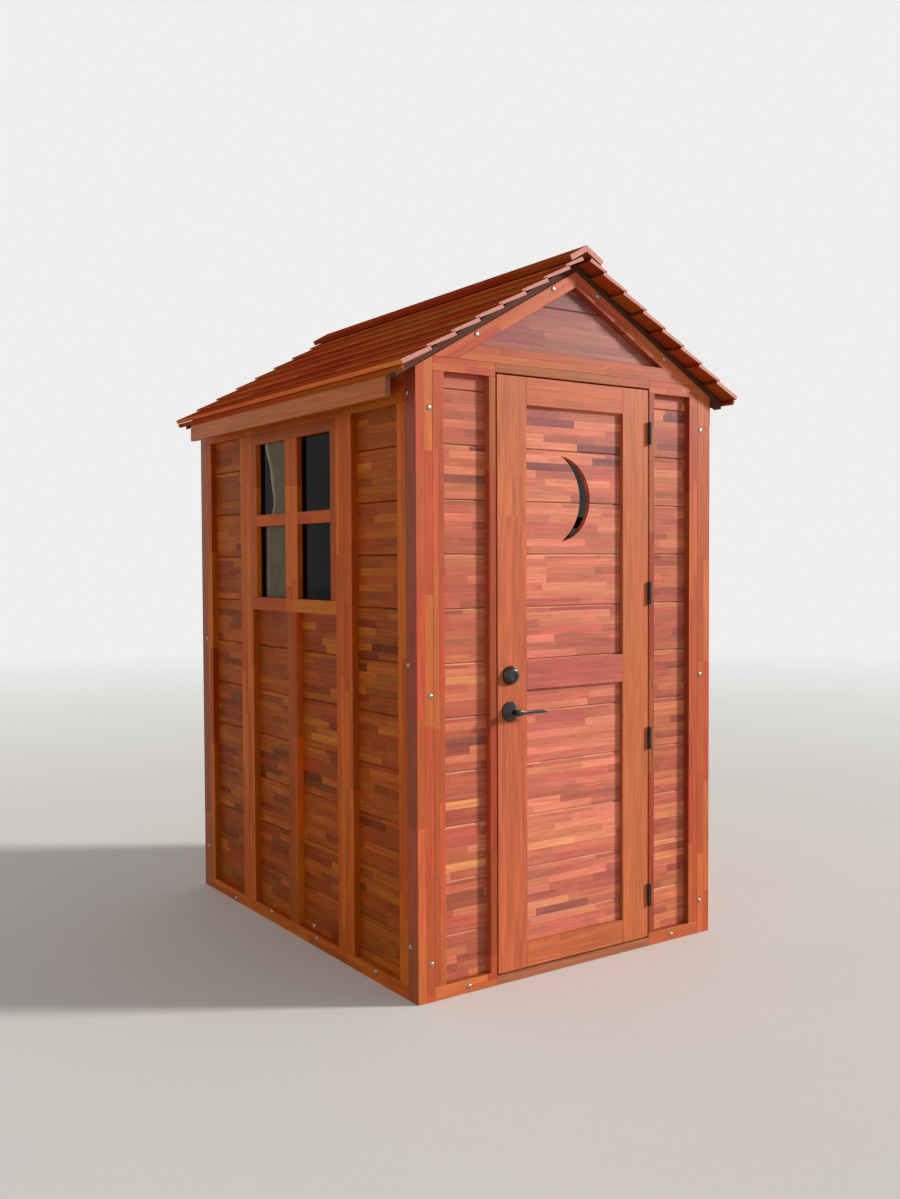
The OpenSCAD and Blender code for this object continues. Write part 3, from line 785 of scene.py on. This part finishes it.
# battens under the roof, dark from a darker wood and from painted shade
BATTEN_INSET = 0.011
for sx, side in ((-1, "left"), (1, "right")):
    rafters = Piece("battens_" + side, "shed", "inner_wood", batten_wood_darker_and_painted_shade, batten_wood_darker_and_painted_shade)
    for y0, y1, reach in (
        (-rafter_end, -rafter_end + BATTEN_T, rafter_out - BATTEN_INSET),
        (rafter_end - BATTEN_T, rafter_end, rafter_out - BATTEN_INSET),
        (-window_y - BATTEN_T, -window_y, fascia_in),
        (window_y, window_y + BATTEN_T, fascia_in),
    ):
        outline = section(
            y0, (0, wall_apex), (sx * reach, roof_z(wall_apex, reach)),
            (sx * reach, roof_z(boards_apex, reach)), (0, boards_apex),
        )
        rafters.prism(outline, Y * (y1 - y0), down_slope(sx), down_slope(sx).cross(Y))
    rafters.done("rafters_" + side)

# roof: each course laps over the one below it, and its lower edge is notched to sit on it
COURSES, LAP, NOTCH = 8, 0.012, 0.013
CAP_COVER = 0.0955  # butt of the first course, just below the ridge cap
UNDER, STEP = 0.0140, 0.0186  # heights of the notch and of the butt above the roof's underside
CUT_GAP = 0.0004  # half of the line where a course is cut
eave_s = (roof_high.x - roof_t * math.sin(pitch)) / math.cos(pitch)
for sx, side in ((-1, "left"), (1, "right")):
    roof = Piece("roof_boards_" + side, "shed", "roof_wood", roof_wood, butt_wood)
    down = down_slope(sx)
    lift = Vector((sx * math.sin(pitch), 0, math.cos(pitch)))
    step = (eave_s - CAP_COVER) / (COURSES - 1)

    def at(s, t, y):
        """Point at s down the slope and t above the roof's underside."""
        return Vector((0, y, boards_apex)) + down * s + lift * t

    for k in range(COURSES):
        s1 = CAP_COVER + k * step
        s0 = max(s1 - step - LAP, LAP)
        short = 1 - (s1 - s0) / (step + LAP)
        profile = [(s0, 0.0025 + 0.0115 * short)]
        if k < COURSES - 1:
            profile += [(s1 - NOTCH, UNDER), (s1 - NOTCH, STEP), (s1, STEP)]
        else:
            profile.append((s1, 0.0100))
        profile += [(s1, roof_t), (s0, 0.0165 + 0.0095 * short)]
        cuts = [-roof_end, rng.uniform(-0.5, 0.5), roof_end]
        for y0, y1 in zip(cuts, cuts[1:]):
            lo = y0 + (CUT_GAP if y0 > -roof_end else 0)
            hi = y1 - (CUT_GAP if y1 < roof_end else 0)
            roof.prism([at(s, t, lo) for s, t in profile], Y * (hi - lo), Y, down, edge=0.0012)
    # painted light and shade: butt faces get a brighter copy of the roof wood than the darkened
    # treads
    roof.mats[2] = painted_light_roof_butt
    for i, f in enumerate(roof.faces):
        p = [roof.verts[j] for j in f]
        n = (p[1] - p[0]).cross(p[2] - p[1])
        if n.length > 0 and n.normalized().dot(down) > 0.6:
            roof.picks[i] = 2
    # thin strip under the last course
    s0, s1 = ((fascia_high.x + out) / math.cos(pitch) for out in (0.0005, 0.009))
    y0 = -roof_end + 0.01
    roof.prism([at(s0, -0.008, y0), at(s1, -0.008, y0), at(s1, 0.0075, y0), at(s0, 0.0075, y0)],
               Y * -2 * y0, Y, down, edge=0.0008, cut=False)
    roof.done("roof_" + side)

    cap = Piece("ridge_board_" + side, "shed", "roof_wood", roof_wood, butt_wood)
    edge_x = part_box("ridge_cap_right")[1].x
    cap_t = (cap_apex - roof_apex) / drop
    reach = edge_x - cap_t * math.sin(pitch)
    outline = section(
        -roof_end, (0, roof_apex), (sx * reach, roof_z(roof_apex, reach)),
        (sx * edge_x, roof_z(cap_apex, edge_x)), (0, cap_apex),
    )
    cap.prism(outline, Y * 2 * roof_end, Y, down, edge=0.002)
    cap.done("ridge_cap_" + side)

# ---------------------------------------------------------------- door


def arc(cx, cz, r, a0, a1, steps):
    """Points of an arc in X and Z, both ends with it."""
    turns = [a0 + (a1 - a0) * i / steps for i in range(steps + 1)]
    return [(cx + r * math.cos(a), cz + r * math.sin(a)) for a in turns]


# the moon is a circle less a larger one, whose centre is BITE to its left
MOON_X, MOON_Z, MOON_R, BITE, BITE_R = -0.073, 1.653, 0.150, 0.071, 0.173
meet = (MOON_R**2 - BITE_R**2 + BITE**2) / (2 * BITE)
tip_x, tip_z = -meet, math.sqrt(MOON_R**2 - meet**2)
outer_a = math.atan2(tip_z, tip_x)
inner_a = math.atan2(tip_z, tip_x + BITE)
moon = arc(MOON_X, MOON_Z, MOON_R, -outer_a, outer_a, 48)
moon += arc(MOON_X - BITE, MOON_Z, BITE_R, inner_a, -inner_a, 48)[1:-1]
moon_cutter = solid_between("moon_cutter", moon, -half_d - 0.1, -half_d + 0.2)
bore = arc(lock_x, lever_z, 0.0075, 0.0, 2 * math.pi, 24)[:-1]
bore_cutter = solid_between("bore_cutter", bore, -half_d - 0.1, -half_d + 0.2)

for name, x0, x1, cutters in (
    ("hinge", leaf_in, leaf_x, ()),
    ("lock", -leaf_x, -leaf_in, (bore_cutter,)),
):
    stile = Piece("door_stile_" + name, "door", "frame_wood", board_wood)
    stile.bar((x0, leaf_front, door_z), (x1, panel_front - GAP, door_top), Z, strips=0,
              cutters=cutters, tone=0.55)
    stile.done(f"door_{name}_stile")
rails = Piece("door_cross_rails", "door", "frame_wood", board_wood)
rails.mats[2] = rail_wood
FOOT, HEAD, MID_Z, HALF_MID = 0.085, 0.095, 1.046, 0.050
for z0, z1, pick in ((door_z, door_z + FOOT, 0), (MID_Z - HALF_MID, MID_Z + HALF_MID, 2),
                     (door_top - HEAD, door_top, 0)):
    before = len(rails.picks)
    rails.bar((-leaf_in + SLIT, leaf_front, z0), (leaf_in - SLIT, panel_front - GAP, z1), X,
              strips=0, tone=0.6)
    rails.picks[before:] = [p or pick for p in rails.picks[before:]]
rails.done("door_rails")
panel = Piece("door_boards", "door", "siding_wood", door_siding)
panel.boards(
    Vector((-leaf_x, leaf_back, door_z)), Vector((leaf_x, leaf_back, door_z)),
    Vector((0, panel_front - leaf_back, 0)), door_z, door_top,
    cutters=(moon_cutter, bore_cutter),
)
panel.done("door_panel")
for cutter in (moon_cutter, bore_cutter):
    bpy.data.objects.remove(cutter)

# ---------------------------------------------------------------- hardware


def add_mesh(name, body, mesh, mat, nodes=(), smooth=35.0):
    """Makes a smooth-shaded object that keeps edges sharper than smooth degrees."""
    data = bpy.data.meshes.new(name)
    bmesh.ops.recalc_face_normals(mesh, faces=mesh.faces)
    mesh.to_mesh(data)
    mesh.free()
    data.materials.append(mat)
    data.polygons.foreach_set("use_smooth", [True] * len(data.polygons))
    data.set_sharp_from_angle(angle=math.radians(smooth))
    made = bpy.data.objects.new(name, data)
    bpy.context.scene.collection.objects.link(made)
    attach(made, body)
    if nodes:
        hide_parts(*nodes)
    return made


def lathe(mesh, profile, centre, axis, steps, loop=False):
    """Adds a turned solid: profile of (distance along the axis, radius)."""
    side = axis.orthogonal().normalized()
    other = axis.cross(side)
    rings = []
    for along, r in profile:
        spot = centre + axis * along
        if r < 1e-6:
            rings.append([mesh.verts.new(spot)])
        else:
            rings.append([
                mesh.verts.new(spot + (side * math.cos(a) + other * math.sin(a)) * r)
                for a in (2 * math.pi * i / steps for i in range(steps))
            ])
    for lower, upper in zip(rings, rings[1:] + ([rings[0]] if loop else [])):
        for i in range(steps):
            j = (i + 1) % steps
            quad = [lower[i % len(lower)], lower[j % len(lower)], upper[j % len(upper)],
                    upper[i % len(upper)]]
            quad = list(dict.fromkeys(quad))
            if len(quad) > 2:
                mesh.faces.new(quad)
    for ring, flip in ((rings[0], True), (rings[-1], False)):
        if len(ring) > 2 and not loop:
            mesh.faces.new(ring[::-1] if flip else ring)


for name in ("door_hinges", "frame_hinges"):
    dress(name, black_metal)


def box_mesh(mesh, low, high, edge):
    """Adds a box with rounded edges."""
    made = bmesh.ops.create_cube(mesh, size=1.0)["verts"]
    low, high = Vector(low), Vector(high)
    for v in made:
        v.co = Vector((low[i] + high[i]) / 2 + v.co[i] * (high[i] - low[i]) for i in range(3))
    edges = list({e for v in made for e in v.link_edges})
    bmesh.ops.bevel(mesh, geom=edges, offset=edge, segments=3, profile=0.5, affect="EDGES",
                    clamp_overlap=True)


# deadbolt: turned housing outside, low plate and thumb turn inside
mesh = bmesh.new()
deep = leaf_front - bolt_low.y
lathe(mesh, [
    (0.0, 0.0), (0.0, 0.0325), (0.0025, 0.0330), (0.0055, 0.0326), (0.0080, 0.0312),
    (deep - 0.004, 0.0252), (deep - 0.0012, 0.0234), (deep, 0.0212),
    (deep, 0.0130), (deep - 0.0022, 0.0122), (deep - 0.0022, 0.0),
], Vector((lock_x, leaf_front, deadbolt_z)), -Y, 48)
lathe(mesh, [
    (0.0, 0.0), (0.0, 0.0345), (0.0025, 0.0350), (0.0060, 0.0330), (0.0100, 0.0285),
    (0.0110, 0.0270), (0.0110, 0.0),
], Vector((lock_x, leaf_back, deadbolt_z)), Y, 48)
box_mesh(mesh, (lock_x - 0.0045, leaf_back + 0.0105, deadbolt_z - 0.0175),
         (lock_x + 0.0045, bolt_high.y, deadbolt_z + 0.0175), 0.003)
slot_y = leaf_front - deep + 0.0022
box_mesh(mesh, (lock_x - 0.0055, slot_y - 0.0012, deadbolt_z - 0.0012),
         (lock_x + 0.0055, slot_y + 0.0005, deadbolt_z + 0.0012), 0.0004)
add_mesh("deadbolt_body", "door", mesh, black_metal, ("deadbolt",))

# rosettes round the neck of the lever
mesh = bmesh.new()
deep = leaf_front - lock_low.y
ring = [
    (0.0, 0.0097), (0.0, 0.0345), (0.0025, 0.0350), (0.0048, 0.0344), (0.0068, 0.0326),
    (0.0130, 0.0272), (0.0200, 0.0208), (deep - 0.002, 0.0152), (deep - 0.0004, 0.0142),
    (deep, 0.0130), (deep, 0.0097),
]
lathe(mesh, ring, Vector((lock_x, leaf_front, lever_z)), -Y, 48, loop=True)
lathe(mesh, ring, Vector((lock_x, leaf_back, lever_z)), Y, 48, loop=True)
add_mesh("lever_rosettes", "door", mesh, black_metal, ("lock_rosettes",))

# lever: spindle, necks and two slim grips
SIDES = 24
mesh = bmesh.new()
lathe(mesh, [(0.0, 0.0), (0.0, 0.0058), (0.05, 0.0058), (0.05, 0.0)],
      Vector((lock_x, leaf_front - 0.006, lever_z)), Y, 24)
reach = lever_high.x - lock_x
for face, way, tip in ((leaf_front, -1, lever_low.y), (leaf_back, 1, lever_high.y)):
    grip_mid = tip - way * 0.0055
    lathe(mesh, [
        (0.0010, 0.0), (0.0010, 0.0088), (0.030, 0.0088), (0.040, 0.0092),
        (abs(grip_mid - face), 0.0100), (abs(grip_mid - face), 0.0),
    ], Vector((lock_x, face, lever_z)), Y * way, 32)
    # along the grip: x from the spindle, half height and half depth
    stations = [
        (-0.0115, 0.0020, 0.0020), (-0.0105, 0.0060, 0.0040), (-0.0070, 0.0100, 0.0052),
        (0.0000, 0.0116, 0.0055), (0.0080, 0.0100, 0.0054), (0.0180, 0.0072, 0.0049),
        (0.0320, 0.0058, 0.0044), (0.0550, 0.0052, 0.0040), (0.0800, 0.0054, 0.0040),
        (0.0980, 0.0060, 0.0041), (0.1100, 0.0056, 0.0038), (reach - 0.0020, 0.0040, 0.0028),
        (reach, 0.0018, 0.0014),
    ]
    rings = []
    for x, h, d in stations:
        row = []
        for i in range(SIDES):
            a = 2 * math.pi * i / SIDES
            c, s = math.cos(a), math.sin(a)
            row.append(mesh.verts.new((
                lock_x + x,
                grip_mid + d * math.copysign(abs(c) ** 0.7, c),
                lever_z + h * math.copysign(abs(s) ** 0.7, s),
            )))
        rings.append(row)
    for lower, upper in zip(rings, rings[1:]):
        for i in range(SIDES):
            j = (i + 1) % SIDES
            mesh.faces.new((lower[i], lower[j], upper[j], upper[i]))
    mesh.faces.new(rings[0][::-1])
    mesh.faces.new(rings[-1])
add_mesh("lever_handle", "lever", mesh, black_metal, ("lever",), smooth=50.0)

# bolt heads, at (x, height) on the ends and (distance from the front, height) on the sides
DOME = [
    (0.0, 0.0), (0.0, 0.0088), (0.0006, 0.0091), (0.0016, 0.0087), (0.0028, 0.0072),
    (0.0036, 0.0045), (0.0036, 0.0026), (0.0026, 0.0022), (0.0026, 0.0),
]
mesh = bmesh.new()
spots = []
for sx in (1, -1):
    for sy in (1, -1):
        for x, z in ((0.618, 1.930), (0.618, 1.000), (0.618, 0.125), (0.102, 2.372),
                     (0.428, 2.183), (0.468, 0.021)):
            spots.append((Vector((sx * x, sy * half_d, z)), Y * sy))
    for y, z in ((0.051, 1.979), (0.049, 1.099), (0.049, 0.177), (0.270, 0.031), (0.699, 0.031),
                 (0.718, 0.074), (1.080, 0.039), (1.428, 0.011), (1.707, 1.979), (1.707, 1.099),
                 (1.707, 0.177)):
        spots.append((Vector((sx * half_w, y - half_d, z)), X * sx))
for spot, way in spots:
    lathe(mesh, DOME, spot - way * 0.0002, way, 18)
add_mesh("bolt_heads", "shed", mesh, steel)

# film left on two panes
rows, cols = 40, 16
for name, z0, z1, share, torn in (
    ("upper", bar_z + HALF_BAR, head_z, 0.62, -0.055),
    ("lower", pane_z, bar_z - HALF_BAR, 0.76, 0.004),
):
    mesh = bmesh.new()
    wide = (glass_y - WINDOW_MID) * share
    phase = rng.uniform(0, 6)
    grid = []
    for i in range(rows + 1):
        v = i / rows
        edge = wide + torn * (0.55 * math.sin(4.4 * v + 0.4) + 0.12 * math.sin(11 * v + phase))
        row = []
        for j in range(cols + 1):
            u = j / cols
            curl = 0.006 * max(0.0, (u - 0.82) / 0.18) ** 2 * (1 if abs(torn) > 0.01 else 0.3)
            wave = 0.0004 * math.sin(17 * u + 9 * v + phase) + 0.0004
            row.append(mesh.verts.new((
                -glass_out - 0.0006 - wave - curl,
                WINDOW_MID + 0.0002 + edge * u,
                z0 + 0.0005 + (z1 - z0 - 0.001) * v,
            )))
        grid.append(row)
    faces = [
        mesh.faces.new((grid[i][j], grid[i][j + 1], grid[i + 1][j + 1], grid[i + 1][j]))
        for i in range(rows) for j in range(cols)
    ]
    bmesh.ops.solidify(mesh, geom=faces, thickness=0.0002)
    sheet = add_mesh("pane_film_" + name, "shed", mesh, film)
    curl_highlight_layer = sheet.data.attributes.new("painted_curl_highlight", "FLOAT_VECTOR", "POINT")
    # painted highlight: paler the further each point curls off the glass
    for v in sheet.data.vertices:
        out = -glass_out - 0.0016 - v.co.x
        curl_highlight_layer.data[v.index].vector = (min(1.0, max(0.0, out / 0.003)), 0, 0)

# strips deep inside the joints, so that no light passes
seals = Piece("joint_seals", "shed", "frame_wood", frame_wood)
HALF_SEAL, SEAL_DEPTH, SEAL_END = 0.003, 0.008, 0.004


def seal(low, high, along):
    """Plain strip between two corners."""
    seals.bar(low, high, along, strips=0, edge=0)


seal((-HALF_SEAL, half_d - frame_t + SEAL_DEPTH, SEAL_END),
     (HALF_SEAL, half_d - SEAL_DEPTH, panel_top - SEAL_END), Z)
for sx in (-1, 1):
    x0, x1 = sorted((sx * (inner_x + SEAL_DEPTH), sx * (half_w - SEAL_DEPTH)))
    seal((x0, -HALF_SEAL, rail_h - SEAL_END), (x1, HALF_SEAL, eave_rail_z + SEAL_END), Z)
    for y in (-joint_y, joint_y):
        seal((x0, y - HALF_SEAL, SEAL_END),
             (x1, y + HALF_SEAL, roof_z(wall_apex, half_w) - SEAL_END), Z)
for sy in (-1, 1):
    y0, y1 = sorted((sy * (siding_back + SEAL_END), sy * (siding_face - SEAL_END)))
    reach = (trim_apex - GABLE_SEAM) / slope - 0.01
    seal((-reach, y0, GABLE_SEAM - HALF_SEAL), (reach, y1, GABLE_SEAM + HALF_SEAL), X)
seals.done()

# ---------------------------------------------------------------- studio


BACKDROP, AMBIENT = 0.86, 0.44
PALE = (1.0, 0.995, 0.985, 1.0)
MELT_FROM, MELT_TO = 3.0, 14.0
SUN_FROM, SUN_STRENGTH, SUN_SPREAD = Vector((2.2, -1.4, 0.9)), 3.7, 7
CAMERA_AT, LENS, SENSOR = Vector((-2.6772, -3.9992, 1.4367)), 34.865054, 36.0


def stage_material(name, colour):
    """Matt floor that melts into the background far away."""
    g = Graph(name)
    spot = g.node("ShaderNodeTexCoord").outputs["Object"]
    cloud = g.noise(spot, 0.6, 3.0)
    low = tuple(c - 4 for c in colour)
    g.set(Base_Color=g.ramp(cloud, [(0.3, low), (0.7, colour)]), Roughness=0.85)
    g.set(Specular_IOR_Level=0.15)
    x, y = g.split(spot)[:2]
    away = g.math("SQRT", g.math("ADD", g.math("MULTIPLY", x, x), g.math("MULTIPLY", y, y)))
    glow = g.node("ShaderNodeEmission")
    glow.inputs["Color"].default_value = PALE
    glow.inputs["Strength"].default_value = BACKDROP
    blend = g.node("ShaderNodeMixShader")
    seen = g.node("ShaderNodeLightPath").outputs["Is Camera Ray"]
    far = g.spread(away, MELT_FROM, MELT_TO, 0.0, 1.0)
    g.link(g.math("MULTIPLY", seen, far), blend.inputs[0])
    g.link(g.shader.outputs[0], blend.inputs[1])
    g.link(glow.outputs[0], blend.inputs[2])
    g.link(blend.outputs[0], g.out.inputs["Surface"])
    return g.mat


floor_mesh = bmesh.new()
sides = 64
rings = [[floor_mesh.verts.new((0, 0, 0))]]
for r in (1.5, 4.0, 12.0, 60.0):
    turns = (2 * math.pi * i / sides for i in range(sides))
    rings.append([floor_mesh.verts.new((r * math.cos(a), r * math.sin(a), 0)) for a in turns])
for i in range(sides):
    j = (i + 1) % sides
    floor_mesh.faces.new((rings[0][0], rings[1][i], rings[1][j]))
    for lower, upper in zip(rings[1:], rings[2:]):
        floor_mesh.faces.new((lower[i], upper[i], upper[j], lower[j]))
floor_data = bpy.data.meshes.new("floor")
floor_mesh.to_mesh(floor_data)
floor_mesh.free()
floor_data.materials.append(stage_material("pale_floor", (226, 224, 220)))
floor = bpy.data.objects.new("floor", floor_data)
bpy.context.scene.collection.objects.link(floor)
floor.location.z = -0.0005

world = bpy.data.worlds.new("studio")
bpy.context.scene.world = world
world.use_nodes = True
tree = world.node_tree
sky = tree.nodes["Background"]
sky.inputs["Color"].default_value = PALE
# plain soft light, and a brighter backdrop where it is seen or mirrored
path = tree.nodes.new("ShaderNodeLightPath")
seen = path.outputs["Is Camera Ray"]
for ray in ("Is Glossy Ray", "Is Transmission Ray"):
    either = tree.nodes.new("ShaderNodeMath")
    either.operation = "MAXIMUM"
    tree.links.new(seen, either.inputs[0])
    tree.links.new(path.outputs[ray], either.inputs[1])
    seen = either.outputs[0]
level = tree.nodes.new("ShaderNodeMapRange")
tree.links.new(seen, level.inputs[0])
level.inputs[3].default_value = AMBIENT
level.inputs[4].default_value = BACKDROP
tree.links.new(level.outputs[0], sky.inputs["Strength"])

sun_data = bpy.data.lights.new("key", "SUN")
sun_data.energy = SUN_STRENGTH
sun_data.angle = math.radians(SUN_SPREAD)
sun_data.color = (1.0, 0.985, 0.96)
sun = bpy.data.objects.new("key", sun_data)
bpy.context.scene.collection.objects.link(sun)
sun.rotation_mode = "QUATERNION"
sun.rotation_quaternion = SUN_FROM.to_track_quat("Z", "Y")

cam_data = bpy.data.cameras.new("camera")
cam_data.sensor_width, cam_data.lens = SENSOR, LENS
cam_data.clip_start, cam_data.clip_end = 0.05, 200
cam = bpy.data.objects.new("camera", cam_data)
bpy.context.scene.collection.objects.link(cam)
bpy.context.scene.camera = cam
yaw, tilt, roll = 0.600566, -0.032953, -0.004667
ahead = Vector((math.sin(yaw) * math.cos(tilt), math.cos(yaw) * math.cos(tilt), math.sin(tilt)))
right = Vector((math.cos(yaw), -math.sin(yaw), 0))
up = right.cross(ahead)
right, up = (right * math.cos(roll) + up * math.sin(roll),
             up * math.cos(roll) - right * math.sin(roll))
turn = Matrix((right, up, -ahead)).transposed().to_4x4()
turn.translation = CAMERA_AT
cam.matrix_world = turn

bpy.context.scene.view_settings.view_transform = "Standard"
